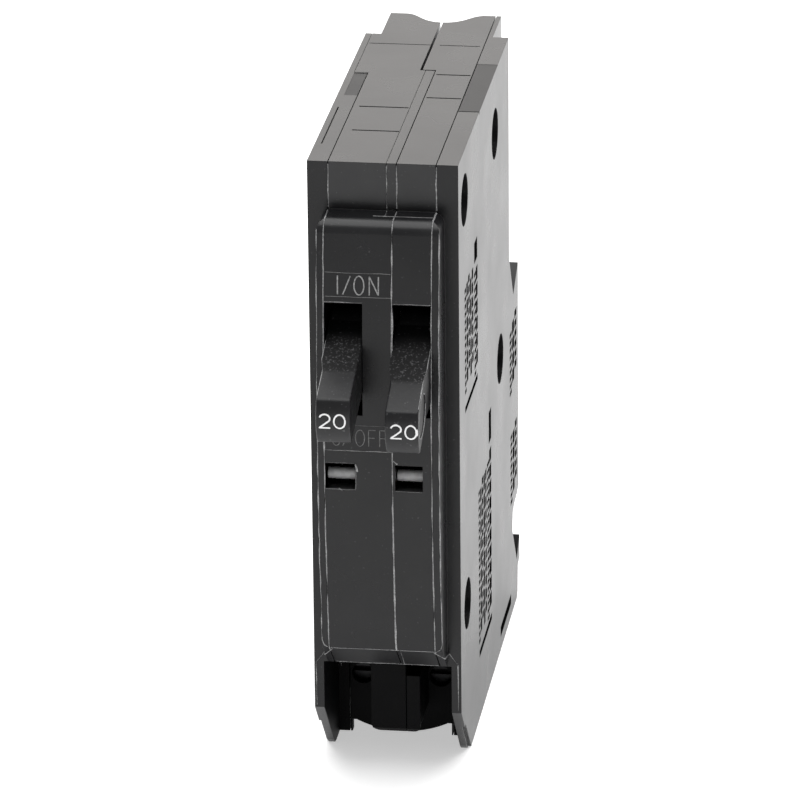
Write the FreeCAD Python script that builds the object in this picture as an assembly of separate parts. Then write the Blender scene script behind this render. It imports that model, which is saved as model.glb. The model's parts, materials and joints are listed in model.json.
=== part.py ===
"""Plug-on tandem circuit breaker: two single-pole switches side by side in one narrow moulded case.

Millimetres.  +X is to the right seen from the front, -Y is the front with the two handles and +Z is the
line end.  Sections are drawn with y measured back from the flat front shoulder and z up from the resting
face; place() then moves every piece so that the origin is under the middle of the overall depth.
Most inner pieces exist twice, for the left pole (side -1) and the right pole (side +1), so their x
positions are written as distances from the middle plane.
"""
import FreeCAD, Part
import math
import os
from FreeCAD import Vector

# Case envelope
HEIGHT = 80.0
DEPTH = 61.2
HALF_WIDTH = 9.15
SHOULDER_REAR = 50.8
WING_REAR = 59.7
WING_HALF_WIDTH = 7.15
BULGE_REAR = 60.3
WALL = 1.15
INNER_HALF_WIDTH = HALF_WIDTH - WALL

# Parting planes between the shells, seen from the front, and the gap left at each
SEAM_LEFT = -6.6
SEAM_RIGHT = 6.5
SEAM_CENTRE = 1.7
SEAM_REAR = -0.1
SEAM_JOG = 36.3
PARTITION_LEFT = 0.5
SEAM_GAP = 0.06
REAR_GAP = 0.16
JOG_GAP = 0.24

# Raised nose around the handles
NOSE_HALF_WIDTH = 7.44
NOSE_TOP = 74.0
NOSE_BOTTOM = 18.6
NOSE_EDGE_PROUD = 4.4
NOSE_CROWN_PROUD = 6.2
NOSE_CORNER = 1.3
NOSE_WALL = 1.5
CHIN_FOOT = 14.8

# Handles
PIVOT_Y = 1.0
PIVOT_Z = 58.0
HANDLE_ROOT = {-1: (1.92, 6.42), 1: (1.78, 6.42)}
HANDLE_TIP = {-1: (1.92, 6.05), 1: (2.2, 6.2)}
HUB_IN = 2.1
HUB_OUT = 6.2
HUB_RADIUS = 3.3
FORK_RADIUS = 7.0
TRUNNION_RADIUS = 1.25
TRUNNION_END = 7.0
RUNNING_GAP = 0.05
ON_ANGLE = 17.5
REST_ANGLE = {-1: -20.0, 1: -24.7}
SLOT_TOP = 63.95
SLOT_BOTTOM = 49.9

# Contact arm: blade angle above level when on, and degrees it drops for each degree of handle travel
ARM_LENGTH = 26.6
ARM_IN = 3.9
ARM_OUT = 5.3
ARM_ON_ANGLE = 13.8
ARM_PER_HANDLE = 0.676
SPRING_HOLE = (12.0, -1.2)
SPRING_FOOT_Z = 45.3
POLE_X = 4.6
CONTACT_Y = 33.0

# Trip mechanism pivots
TRIP_Y = 20.0
TRIP_Z = 42.0
FLAG_Y = 9.0
FLAG_Z = 38.0
PIN_RADIUS = 1.0

# Indicator windows
WINDOW_TOP = 43.6
WINDOW_BOTTOM = 40.3
WINDOW_SPAN = {-1: (SEAM_LEFT, -2.85), 1: (2.0, 5.4)}
BAR_SPAN = {-1: (-6.4, -3.0), 1: (2.1, 5.25)}
BAR_RADIUS = 0.72
BAR_Y = -3.9
BAR_Z = 41.5

# Load end
TERMINAL_X = 4.9
TERMINAL_Z = 8.0
SCREW_RADIUS = 1.95
FRONT_WALL_Y = 12.5
FRONT_WALL = 1.2
COLUMN_FRONT = 4.2
COLUMN_FOOT = 3.7
LEG_INNER = 7.95
LEG_RELIEF = 0.35
ACCESS_RADIUS = 1.4

# Rivets, as (y, z)
RIVETS = [(5.8, 73.7), (36.2, 72.0), (40.8, 40.2), (6.6, 20.6)]
RIVET_RADIUS = 1.6
RIVET_HEAD_RADIUS = 2.9
COUNTERBORE_RADIUS = 3.27
COUNTERBORE_FLOOR = 7.5

# Depth of the engraved marks on the right cover
ENGRAVING = 0.12

# Line end
BUS_BOTTOM = 65.8
BUS_THICK = 1.2


def box(x0, x1, y0, y1, z0, z1):
    return Part.makeBox(x1 - x0, y1 - y0, z1 - z0, Vector(x0, y0, z0))


def pole_box(side, a, b, y0, y1, z0, z1):
    """A box between distances a and b from the middle plane, on one side."""
    return box(min(side * a, side * b), max(side * a, side * b), y0, y1, z0, z1)


def prism(outline, x0, x1):
    """A closed (y, z) outline carried from x0 to x1."""
    points = [Vector(x0, y, z) for y, z in outline]
    face = Part.Face(Part.makePolygon(points + points[:1]))
    return face.extrude(Vector(x1 - x0, 0, 0))


def pole_prism(side, outline, a, b):
    return prism(outline, min(side * a, side * b), max(side * a, side * b))


def rod(side, y, z, radius, a, b):
    """A round bar along x between distances a and b from the middle plane, on one side."""
    start = min(side * a, side * b)
    return Part.makeCylinder(radius, abs(b - a), Vector(start, y, z), Vector(1, 0, 0))


def rod_y(x, z, radius, y0, y1):
    return Part.makeCylinder(radius, y1 - y0, Vector(x, y0, z), Vector(0, 1, 0))


def join(shapes):
    return shapes[0].multiFuse(shapes[1:]).removeSplitter() if len(shapes) > 1 else shapes[0]


def cut(shape, tools):
    return shape.cut(Part.makeCompound(tools)) if len(tools) == 1 else shape.cut(join(tools))


def is_along_x(edge):
    return abs(edge.tangentAt(edge.FirstParameter).x) > 0.9


def turned(shape, y, z, degrees):
    """The shape turned about an x-parallel axis through (y, z)."""
    copy = shape.copy()
    copy.rotate(Vector(0, y, z), Vector(1, 0, 0), degrees)
    return copy


def arc_outline(points):
    """Edges of a closed (y, z) outline in the plane x = 0.

    Each entry is (y, z) for a straight run to that point or (y, z, my, mz) for an arc through (my, mz).
    """
    edges = []
    start = Vector(0, points[0][0], points[0][1])
    first = start
    for entry in points[1:] + [points[0][:2]]:
        end = Vector(0, entry[0], entry[1])
        if len(entry) == 4:
            edges.append(Part.Arc(start, Vector(0, entry[2], entry[3]), end).toShape())
        elif end.distanceToPoint(start) > 1e-6:
            edges.append(Part.LineSegment(start, end).toShape())
        start = end
    assert start.distanceToPoint(first) < 1e-6
    return Part.Wire(edges)


def arc_prism(points, x0, x1):
    face = Part.Face(arc_outline(points))
    face.translate(Vector(x0, 0, 0))
    return face.extrude(Vector(x1 - x0, 0, 0))


def tube(points, radius, bend):
    """A round lead along straight runs joined by tangent arcs of one radius."""
    points = [Vector(*p) for p in points]
    edges = []
    start = points[0]
    for before, corner, after in zip(points, points[1:], points[2:]):
        inward = (before - corner).normalize()
        outward = (after - corner).normalize()
        half = inward.getAngle(outward) / 2
        reach = bend / math.tan(half)
        enter = corner + inward * reach
        leave = corner + outward * reach
        centre = corner + (inward + outward).normalize() * (bend / math.sin(half))
        middle = centre + (corner - centre).normalize() * bend
        edges.append(Part.LineSegment(start, enter).toShape())
        edges.append(Part.Arc(enter, middle, leave).toShape())
        start = leave
    edges.append(Part.LineSegment(start, points[-1]).toShape())
    spine = Part.Wire(edges)
    circle = Part.makeCircle(radius, points[0], points[1] - points[0])
    return spine.makePipeShell([Part.Wire([circle])], True, False)


# ---------------------------------------------------------------- case


def shoulder_outline():
    """Side outline of the covers: front shoulder, rear step, bulge, rail hook and feet."""
    return [
        (0.0, 8.6),
        (0.0, HEIGHT),
        (SHOULDER_REAR, HEIGHT),
        (SHOULDER_REAR, 50.2),
        (55.0, 43.8),
        (60.2, 46.4),
        (BULGE_REAR, 15.3),
        (58.6, 14.7),
        (55.8, 14.5),
        (53.9, 13.9),
        (53.3, 11.5),
        (58.1, 5.4),
        (61.1, 7.8),
        (DEPTH, 4.6),
        (59.3, 4.2),
        (58.9, 0.7),
        (58.0, 0.0),
        (9.6, 0.0),
        (8.4, 0.2),
        (7.55, 0.85),
    ]


def nose_solid(inset, x0, x1):
    """The crowned nose, optionally drawn smaller all round, between two x positions."""
    top = NOSE_TOP - inset
    bottom = NOSE_BOTTOM + inset
    edge = -NOSE_EDGE_PROUD + inset
    crown = -NOSE_CROWN_PROUD + inset
    round_top = 1.5
    middle = (top + bottom) / 2
    section = [
        (2.0, bottom - NOSE_EDGE_PROUD + 0.6),
        (0.0, bottom - NOSE_EDGE_PROUD + 0.6),
        (edge, bottom),
        (edge - 0.1, top - round_top, crown, middle),
        (edge + round_top, top, edge + 0.36 * round_top, top - 0.3 * round_top),
        (2.0, top),
    ]
    return arc_prism(section, x0, x1)


def nose_front_outline():
    """Rounded rectangle seen from the front, as a prism along y, that rounds the nose's corners."""
    low = NOSE_BOTTOM - NOSE_EDGE_PROUD - 1.0
    plate = box(-NOSE_HALF_WIDTH, NOSE_HALF_WIDTH, -20.0, 5.0, low, NOSE_TOP)
    uprights = [e for e in plate.Edges if abs(e.tangentAt(e.FirstParameter).y) > 0.9]
    top_edges = [e for e in uprights if e.CenterOfMass.z > PIVOT_Z]
    return plate.makeFillet(NOSE_CORNER, top_edges)


def exterior():
    """The whole case as one solid, before it is parted into shells."""
    block = prism(shoulder_outline(), -HALF_WIDTH, HALF_WIDTH)
    wing = box(-WING_HALF_WIDTH, WING_HALF_WIDTH, 40.0, WING_REAR, 40.0, HEIGHT)
    nose = nose_solid(0.0, -NOSE_HALF_WIDTH, NOSE_HALF_WIDTH).common(nose_front_outline())
    whole = join([block, wing, nose])
    return cut(whole, [stab_scoop(), jaw_mouth()] + load_end_cuts() + leg_reliefs() + counterbores())


def stab_scoop():
    """Smooth hollow down the rear of the wing, where the panel's stab stands."""
    z0 = 52.0
    half = [(0.0, 56.35), (0.9, 56.45), (1.75, 56.85), (2.65, 57.6), (3.6, 58.8), (4.9, WING_REAR)]
    curve_points = [Vector(-x, y, z0) for x, y in reversed(half[1:])] + [Vector(x, y, z0) for x, y in half]
    curve = Part.BSplineCurve()
    curve.interpolate(curve_points)
    corners = [
        curve_points[-1],
        Vector(half[-1][0], WING_REAR + 2.0, z0),
        Vector(-half[-1][0], WING_REAR + 2.0, z0),
        curve_points[0],
    ]
    edges = [curve.toShape()]
    edges += [Part.LineSegment(p, q).toShape() for p, q in zip(corners, corners[1:])]
    face = Part.Face(Part.Wire(edges))
    return face.extrude(Vector(0, 0, HEIGHT - z0 + 1.0))


def jaw_mouth():
    """Slot and chamber that the line jaw sits in, open to the rear."""
    chamber = box(-3.1, 3.1, 46.6, 55.4, 55.0, 75.0)
    slot = box(-1.3, 1.3, 55.0, WING_REAR + 1.0, 54.5, 75.5)
    return join([chamber, slot])


def is_foot_corner(edge, x):
    middle = edge.CenterOfMass
    return abs(middle.x - x) < 0.01 and abs(middle.z - COLUMN_FOOT) < 0.01


def load_end_cuts():
    """The open load end under the chin, and the wire chambers behind its front wall."""
    inner = INNER_HALF_WIDTH
    wall_back = FRONT_WALL_Y + FRONT_WALL
    column = box(-2.7, SEAM_CENTRE, COLUMN_FRONT, wall_back, COLUMN_FOOT, CHIN_FOOT + 1.0)
    half_column = box(SEAM_CENTRE, 3.4, COLUMN_FRONT, wall_back, COLUMN_FOOT, 11.5)
    column = column.makeFillet(1.2, [e for e in column.Edges if is_foot_corner(e, -2.7)])
    half_column = half_column.makeFillet(0.9, [e for e in half_column.Edges if is_foot_corner(e, 3.4)])
    mouth = box(-LEG_INNER, LEG_INNER, -1.0, FRONT_WALL_Y, -1.0, CHIN_FOOT).cut(join([column, half_column]))
    cuts = [mouth, wall_foot(), box(-6.6, 6.5, 27.0, 70.0, -1.0, 0.4)]
    for side in (-1, 1):
        cuts.append(pole_box(side, 1.85, inner, wall_back, 27.4, -1.0, 13.3))
        access = rod_y(side * TERMINAL_X, TERMINAL_Z, ACCESS_RADIUS, FRONT_WALL_Y - 1.0, wall_back + 1.0)
        cuts.append(access)
        cuts.append(pole_box(side, 5.7, 6.3, FRONT_WALL_Y - 0.1, wall_back + 0.1, -1.0, 1.6))
    return cuts


def leg_reliefs():
    """Shallow step on the outer face of each front leg, just above its toe."""
    outline = [(-1.0, 5.4), (4.0, 5.4), (9.4, 0.0), (9.4, -1.0), (-1.0, -1.0)]
    return [pole_prism(side, outline, HALF_WIDTH - LEG_RELIEF, HALF_WIDTH + 1.0) for side in (-1, 1)]


def wall_foot():
    """Room under the front wall, whose foot is a wide shallow arc between the two covers' ribs."""
    radius, low, half = 13.2, 0.25, 5.75
    belly = Part.makeCylinder(radius, 4.0, Vector(0, FRONT_WALL_Y - 1.0, radius + low), Vector(0, 1, 0))
    under = box(-half, half, FRONT_WALL_Y - 0.1, FRONT_WALL_Y + FRONT_WALL + 0.1, -1.0, 6.0)
    return under.cut(belly)


def counterbores():
    holes = []
    for y, z in RIVETS:
        for side in (-1, 1):
            holes.append(rod(side, y, z, COUNTERBORE_RADIUS, COUNTERBORE_FLOOR, HALF_WIDTH + 1.0))
        holes.append(rod(1, y, z, RIVET_RADIUS + 0.1, -HALF_WIDTH, HALF_WIDTH))
    return holes


def cavities(side):
    """Hollow of one pole: the body's deep part, the cover's shallow part and the handle pocket."""
    body_outline = [
        (1.4, 16.3),
        (1.4, 76.4),
        (45.8, 76.4),
        (45.8, 51.0),
        (58.2, 51.0),
        (58.2, 16.8),
        (52.0, 16.8),
        (52.0, 13.2),
        (14.0, 13.2),
        (14.0, 16.3),
    ]
    cover_outline = [
        (1.4, 16.3),
        (1.4, 76.4),
        (49.2, 76.4),
        (49.2, 47.6),
        (52.4, 44.2),
        (52.6, 41.0),
        (58.6, 41.0),
        (58.6, 16.8),
        (52.0, 16.8),
        (52.0, 13.2),
        (14.0, 13.2),
        (14.0, 16.3),
    ]
    seam = 6.55
    deep = pole_prism(side, body_outline, 2.6, seam)
    rear = pole_box(side, 1.2, 2.7, SEAM_JOG + 1.2, 45.8, 44.6, 76.4)
    rear_low = pole_box(side, 1.6, 2.7, 44.6, 58.2, 16.8, 51.0)
    shallow = pole_prism(side, cover_outline, seam - 0.1, INNER_HALF_WIDTH)
    lower = pole_box(side, 1.6, INNER_HALF_WIDTH, 28.6, 50.6, 1.6, 12.0)
    columns = []
    for y, z in RIVETS:
        columns.append(rod(side, y, z, 2.9, 1.0, 7.0))
        columns.append(rod(side, y, z, 4.1, seam, INNER_HALF_WIDTH + 0.5))
    bosses = [
        rod(side, PIVOT_Y, PIVOT_Z, 2.6, 6.6, INNER_HALF_WIDTH + 0.5),
        rod(side, TRIP_Y, TRIP_Z, 1.9, 6.6, INNER_HALF_WIDTH + 0.5),
        rod(side, FLAG_Y, FLAG_Z, 1.9, 6.6, INNER_HALF_WIDTH + 0.5),
    ]
    hollow = join([deep, rear, rear_low, shallow, lower]).cut(join(columns + bosses))
    slot_span = {-1: (SEAM_LEFT, -1.85), 1: (SEAM_CENTRE, SEAM_RIGHT)}[side]
    pocket = box(slot_span[0], slot_span[1], -9.0, 11.0, SLOT_BOTTOM, SLOT_TOP)
    pocket_front = -NOSE_EDGE_PROUD + 0.2
    inner_pocket = box(slot_span[0], slot_span[1], pocket_front, 11.0, SLOT_BOTTOM - 1.2, SLOT_TOP + 1.6)
    window_span = WINDOW_SPAN[side]
    window = box(window_span[0], window_span[1], -9.0, 2.0, WINDOW_BOTTOM, WINDOW_TOP)
    flag_room = box(slot_span[0], window_span[1], -NOSE_EDGE_PROUD + 0.1, 3.0, 35.6, 47.0)
    nose_hollow = pole_box(side, 2.6, 6.4, -NOSE_EDGE_PROUD + NOSE_WALL, 2.0, 24.5, 35.0)
    upper_hollow = pole_box(side, 2.6, 6.4, -NOSE_EDGE_PROUD + NOSE_WALL, 2.0, 66.5, 69.0)
    pins = [
        rod(side, PIVOT_Y, PIVOT_Z, TRUNNION_RADIUS + RUNNING_GAP, 0.6, TRUNNION_END + 0.1),
        rod(side, TRIP_Y, TRIP_Z, PIN_RADIUS + 0.02, 2.0, 7.6),
        rod(side, FLAG_Y, FLAG_Z, PIN_RADIUS + 0.02, 2.0, 7.6),
    ]
    bus_passage = pole_box(side, -0.5, 6.0, 30.5, 46.8, BUS_BOTTOM - 0.3, BUS_BOTTOM + BUS_THICK + 0.2)
    return [hollow, pocket, inner_pocket, window, flag_room, nose_hollow, upper_hollow, bus_passage] + pins


def shell_space(name):
    """The room each shell may fill, bounded by the parting planes."""
    far = 40.0
    left = SEAM_LEFT - SEAM_GAP
    right = SEAM_RIGHT + SEAM_GAP
    tongue = box(-8.3, SEAM_LEFT + 1.0, 34.7, 70.0, 77.4, HEIGHT + 1.0)
    tongue_room = box(-8.3 - SEAM_GAP, SEAM_LEFT + 1.0, 34.6, 70.0, 77.3, HEIGHT + 1.0)
    partition = partition_plate(0.0)
    partition_room = partition_plate(SEAM_GAP)
    if name == "cover_left":
        return box(-far, left, -far, far * 2, -far, far * 3).cut(tongue_room)
    if name == "cover_right":
        return box(right, far, -far, far * 2, -far, far * 3)
    if name == "center_partition":
        return partition
    front_left = box(left + 2 * SEAM_GAP, SEAM_CENTRE - SEAM_GAP, -far, SEAM_JOG, -far, far * 3)
    rear_left = box(left + 2 * SEAM_GAP, SEAM_REAR - REAR_GAP, SEAM_JOG, far * 2, -far, far * 3)
    if name == "body_left":
        return join([front_left, rear_left, tongue]).cut(partition_room)
    jog = SEAM_JOG + JOG_GAP
    front_right = box(SEAM_CENTRE + SEAM_GAP, right - 2 * SEAM_GAP, -far, jog, -far, far * 3)
    rear_right = box(SEAM_REAR + REAR_GAP, right - 2 * SEAM_GAP, jog, far * 2, -far, far * 3)
    return join([front_right, rear_right])


def partition_plate(grow):
    outline = [
        (-1.0, NOSE_TOP + 0.2 - grow),
        (-1.0, HEIGHT + 1.0),
        (SEAM_JOG - 0.06 + grow, HEIGHT + 1.0),
        (SEAM_JOG - 0.06 + grow, 15.4 - grow),
        (1.8 - grow, 15.4 - grow),
        (1.8 - grow, NOSE_TOP + 0.2 - grow),
    ]
    return prism(outline, PARTITION_LEFT - grow, SEAM_CENTRE - SEAM_GAP)


def top_lines():
    """Fine step lines moulded across the line end, and two slightly lower panels."""
    width, deep, faint = 0.32, 0.3, 0.1
    panel_left, panel_right = 0.05, 0.02
    lines = [
        (-5.8, 0.3, 21.1),
        (-5.4, 0.4, 11.9),
        (2.0, 6.3, 34.6),
        (2.0, 6.3, 25.3),
        (SEAM_RIGHT + 0.1, HALF_WIDTH + 1.0, 20.4),
    ]
    grooves = [box(x0, x1, y, y + width, HEIGHT - deep, HEIGHT + 1.0) for x0, x1, y in lines]
    grooves.append(box(-8.1, -0.3, 46.6, 46.8, HEIGHT - faint, HEIGHT + 1.0))
    grooves.append(box(0.9, 6.0, 46.6, 46.8, HEIGHT - faint, HEIGHT + 1.0))
    grooves.append(box(-8.4, -8.22, 6.5, 20.7, HEIGHT - deep, HEIGHT + 1.0))
    grooves.append(box(-8.3, SEAM_LEFT, 25.4, 34.5, HEIGHT - panel_left, HEIGHT + 1.0))
    grooves.append(box(SEAM_RIGHT, HALF_WIDTH + 1.0, 20.6, 39.5, HEIGHT - panel_right, HEIGHT + 1.0))
    return grooves


def side_markings():
    """Blank stand-ins for small print, engraved on the right cover as columns of short bars."""
    face = HALF_WIDTH - ENGRAVING
    bars = []

    def columns(y0, y1, z0, z1, pitch, width):
        """Upright columns of bars of uneven length between y0 and y1."""
        for column in range(int((y1 - y0) / pitch)):
            y = y0 + column * pitch
            z = z0 + 0.5 * (column * 7 % 5)
            step = 0
            while z < z1 - 1.0:
                length = 0.6 + 0.4 * ((column * 3 + step * 5) % 5)
                bars.append(box(face, HALF_WIDTH + 1.0, y, y + width, z, min(z + length, z1)))
                z += length + 0.4
                step += 1

    columns(5.4, 14.2, 48.6, 63.0, 1.75, 1.35)
    columns(14.7, 18.2, 47.4, 62.0, 1.7, 1.6)
    bars.append(box(face, HALF_WIDTH + 1.0, 14.9, 17.8, 62.2, 64.9))
    columns(17.9, 26.4, 10.2, 31.5, 1.7, 1.3)
    columns(26.7, 31.2, 9.6, 32.6, 2.2, 2.0)
    bars.append(box(face, HALF_WIDTH + 1.0, 28.6, 31.0, 33.2, 37.4))
    columns(51.0, 58.9, 31.0, 41.0, 2.6, 2.1)
    columns(51.6, 58.9, 15.6, 26.4, 2.4, 1.9)
    bars.append(box(face, HALF_WIDTH + 1.0, 5.4, 17.6, 46.2, 47.0))
    bars.append(box(face, HALF_WIDTH + 1.0, 18.2, 31.0, 8.3, 9.2))
    bars.append(box(face, HALF_WIDTH + 1.0, 40.2, 51.6, 1.8, 3.2))
    return bars


def case_shells():
    whole = exterior()
    whole = cut(whole, cavities(-1))
    whole = cut(whole, cavities(1))
    whole = cut(whole, top_lines())
    shells = {}
    for name in ("cover_left", "body_left", "center_partition", "body_right", "cover_right"):
        shells[name] = whole.common(shell_space(name))
    shells["cover_right"] = cut(shells["cover_right"], side_markings())
    return shells


def rivets():
    """Four rivets that hold the shells together, heads sunk in the counterbores."""
    pieces = []
    for y, z in RIVETS:
        shank = rod(1, y, z, RIVET_RADIUS, -COUNTERBORE_FLOOR, COUNTERBORE_FLOOR)
        top = COUNTERBORE_FLOOR + 0.8
        heads = [rod(side, y, z, RIVET_HEAD_RADIUS, COUNTERBORE_FLOOR, top) for side in (-1, 1)]
        dimples = [Part.makeSphere(1.3, Vector(side * (top + 0.7), y, z)) for side in (-1, 1)]
        pieces.append(cut(join([shank] + heads), dimples))
    return Part.makeCompound(pieces)


# ---------------------------------------------------------------- one pole


def arm_blade_angle(side):
    """Blade angle above level at rest: it follows the handle's travel from the on position."""
    return ARM_ON_ANGLE - ARM_PER_HANDLE * (ON_ANGLE - REST_ANGLE[side])


def fork_point(side):
    """Centre of the arm's pivot in the handle's inner fork at rest."""
    angle = math.radians(-REST_ANGLE[side])
    return PIVOT_Y + FORK_RADIUS * math.cos(angle), PIVOT_Z + FORK_RADIUS * math.sin(angle)


def handle_taper(side, root, tip, outward):
    """Wedge that narrows one flank of the finger block from its root width to its tip width."""
    beyond = root + outward * 2.0
    outline = [(root, -9.0), (tip, -11.0), (tip, -20.0), (beyond, -20.0), (beyond, -9.0)]
    points = [Vector(side * x, y, -6.0) for x, y in outline]
    face = Part.Face(Part.makePolygon(points + points[:1]))
    return face.extrude(Vector(0, 0, 12.0))


def handle(side):
    """Toggle: finger block with a slanted end, hub with trunnions and an inner fork for the arm."""
    inner, outer = HANDLE_ROOT[side]
    tip_inner, tip_outer = HANDLE_TIP[side]
    section = [
        (0.0, 2.9),
        (-16.6, 3.4),
        (-18.0, -2.3, -18.1, 1.2),
        (0.0, -2.9),
    ]
    block = arc_prism(section, min(side * inner, side * outer), max(side * inner, side * outer))
    tip_corners = [e for e in block.Edges if e.CenterOfMass.y < -15.0 and e.Length > 3.0 and is_along_x(e)]
    block = block.makeFillet(0.7, tip_corners)
    block = cut(block, [handle_taper(side, inner, tip_inner, -1), handle_taper(side, outer, tip_outer, 1)])
    rims = [e for e in block.Edges if e.CenterOfMass.y < -12.0 and not is_along_x(e)]
    rims = [e for e in rims if abs(e.tangentAt(e.FirstParameter).z) < 0.99 or e.CenterOfMass.y < -15.0]
    block = block.makeFillet(0.2, rims)
    thumb_flat = Part.makeCylinder(1.0, 0.12, Vector(side * tip_outer, 0, 0), Vector(-side, 0, 0))
    stretch = FreeCAD.Matrix()
    stretch.scale(Vector(1.0, 3.1, 2.3))
    thumb_flat = thumb_flat.transformGeometry(stretch)
    thumb_flat.translate(Vector(0, -14.2, 0.4))
    hub = rod(side, 0.0, 0.0, HUB_RADIUS, HUB_IN, HUB_OUT)
    leg = pole_box(side, HUB_IN, HUB_OUT, -0.5, FORK_RADIUS, -1.7, 1.7)
    eye = rod(side, FORK_RADIUS, 0.0, 1.9, HUB_IN, HUB_OUT)
    trunnion = rod(side, 0.0, 0.0, TRUNNION_RADIUS, 0.7, TRUNNION_END)
    body = join([block, hub, leg, eye, trunnion])
    slot = pole_box(side, ARM_IN - 0.15, ARM_OUT + 0.15, 4.6, 10.0, -4.0, 4.0)
    hole = rod(side, FORK_RADIUS, 0.0, 0.8, HUB_IN - 1.0, HUB_OUT + 1.0)
    body = cut(body, [slot, hole]).cut(thumb_flat)
    body.translate(Vector(0, PIVOT_Y, PIVOT_Z))
    return turned(body, PIVOT_Y, PIVOT_Z, -REST_ANGLE[side])


def arm_pin(side):
    y, z = fork_point(side)
    return rod(side, y, z, 0.8, HUB_IN + 0.1, HUB_OUT - 0.1)


def spring_anchor(side):
    """Centre of the blade's spring hole at rest."""
    y, z = fork_point(side)
    angle = math.radians(arm_blade_angle(side))
    along, up = SPRING_HOLE
    y += along * math.cos(angle) - up * math.sin(angle)
    z += along * math.sin(angle) + up * math.cos(angle)
    return y, z


def place_arm(shape, side):
    """Moves a piece drawn level from the arm's eye to the arm's rest position."""
    y, z = fork_point(side)
    shape = turned(shape, 0.0, 0.0, arm_blade_angle(side))
    shape.translate(Vector(0, y, z))
    return shape


def contact_arm(side):
    """Copper blade that swings the moving contact, with an eye, a spring hole and a contact seat."""
    outline = [
        (0.0, -1.5),
        (0.0, 1.5),
        (ARM_LENGTH - 3.0, 1.7),
        (ARM_LENGTH, 1.2),
        (ARM_LENGTH, -1.6),
        (15.0, -2.1),
        (8.0, -2.1),
    ]
    blade = pole_prism(side, outline, ARM_IN, ARM_OUT)
    eye = rod(side, 0.0, 0.0, 1.5, ARM_IN, ARM_OUT)
    seat = pole_box(side, POLE_X - 1.7, POLE_X + 1.7, ARM_LENGTH - 2.3, ARM_LENGTH + 1.3, 0.4, 1.4)
    seat = turned(seat, ARM_LENGTH, 0.0, -ARM_ON_ANGLE)
    holes = [
        rod(side, 0.0, 0.0, 0.85, ARM_IN - 1.0, ARM_OUT + 1.0),
        rod(side, *SPRING_HOLE, 0.45, ARM_IN - 1.0, ARM_OUT + 1.0),
    ]
    return place_arm(cut(join([blade, eye, seat]), holes), side)


def moving_contact(side):
    """Silver button on the blade's seat; it lies level when the blade is in the on position."""
    button = Part.makeCylinder(1.6, 1.1, Vector(side * POLE_X, ARM_LENGTH - 0.5, 1.4), Vector(0, 0, 1))
    button = turned(button, ARM_LENGTH, 0.0, -ARM_ON_ANGLE)
    return place_arm(button, side)


def fixed_contact(side):
    return Part.makeCylinder(1.6, 1.0, Vector(side * POLE_X, CONTACT_Y, BUS_BOTTOM - 1.0), Vector(0, 0, 1))


def toggle_spring(side):
    """Tension spring from the trip lever up to the blade, hooked into a hole in each."""
    turns, pitch, wire, coil_radius = 10, 0.64, 0.24, 1.05
    low, high = 47.6, 47.6 + turns * pitch
    y, top = spring_anchor(side)
    helix = Part.makeHelix(pitch, pitch * turns, coil_radius)
    profile = Part.Wire([Part.makeCircle(wire, Vector(coil_radius, 0, 0), Vector(0, 1, 0))])
    coil = Part.Wire(helix.Edges).makePipeShell([profile], True, True)
    if side < 0:
        coil.rotate(Vector(0, 0, 0), Vector(0, 0, 1), 180)
    coil.translate(Vector(side * POLE_X, y, low))
    tail_x = POLE_X + coil_radius
    foot = SPRING_FOOT_Z
    lower_tail = [(side * tail_x, y, low + wire), (side * tail_x, y, foot), (side * 2.9, y, foot)]
    upper_tail = [(side * tail_x, y, high - wire), (side * tail_x, y, top), (side * 3.75, y, top)]
    return join([coil, tube(lower_tail, wire, 0.4), tube(upper_tail, wire, 0.4)])


def trip_lever(side):
    """Bell crank: latch nose to the rear, spring horn on top and a finger over the flag lever."""
    outline = [
        (17.6, 46.4),
        (20.8, 46.6),
        (23.0, 45.0),
        (28.0, 45.2),
        (40.0, 48.2),
        (45.9, 49.0),
        (46.2, 47.0),
        (40.0, 45.3),
        (28.0, 41.8),
        (21.0, 39.2),
        (17.6, 39.8),
        (14.0, 39.6),
        (13.7, 41.2),
        (17.4, 43.2),
    ]
    plate = pole_prism(side, outline, 2.75, 3.75)
    hub = rod(side, TRIP_Y, TRIP_Z, 2.0, 2.75, 5.2)
    finger = rod(side, 14.6, 40.2, 0.7, 3.0, 5.1)
    holes = [
        rod(side, TRIP_Y, TRIP_Z, PIN_RADIUS + RUNNING_GAP, 2.0, 6.0),
        rod(side, spring_anchor(side)[0], SPRING_FOOT_Z, 0.45, 2.0, 6.0),
    ]
    return cut(join([plate, hub, finger]), holes)


def flag_lever(side):
    """Lever that carries the window bar and the flag; the trip lever's finger rests on its rear end."""
    outline = [
        (-3.9, 40.6),
        (-3.9, 41.9),
        (-2.6, 41.9),
        (FLAG_Y - 1.2, FLAG_Z + 2.1),
        (FLAG_Y + 1.0, FLAG_Z + 2.15),
        (17.0, 38.9),
        (17.0, 37.2),
        (FLAG_Y + 2.2, FLAG_Z - 1.2),
        (FLAG_Y - 0.6, FLAG_Z - 1.9),
        (-2.0, 38.4),
        (-2.0, 36.2),
        (-3.1, 36.2),
        (-3.1, 40.6),
    ]
    plate = pole_prism(side, outline, 4.0, 5.0)
    hub = rod(side, FLAG_Y, FLAG_Z, 1.9, 3.2, 5.8)
    holes = [
        rod(side, FLAG_Y, FLAG_Z, PIN_RADIUS + RUNNING_GAP, 2.0, 7.0),
        rod(side, BAR_Y, BAR_Z, BAR_RADIUS, 1.0, 7.0),
    ]
    return cut(join([plate, hub]), holes)


def window_bar(side):
    """Round grey bar that shows in the window while the pole is not tripped."""
    x0, x1 = BAR_SPAN[side]
    return Part.makeCylinder(BAR_RADIUS, x1 - x0, Vector(x0, BAR_Y, BAR_Z), Vector(1, 0, 0))


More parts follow.
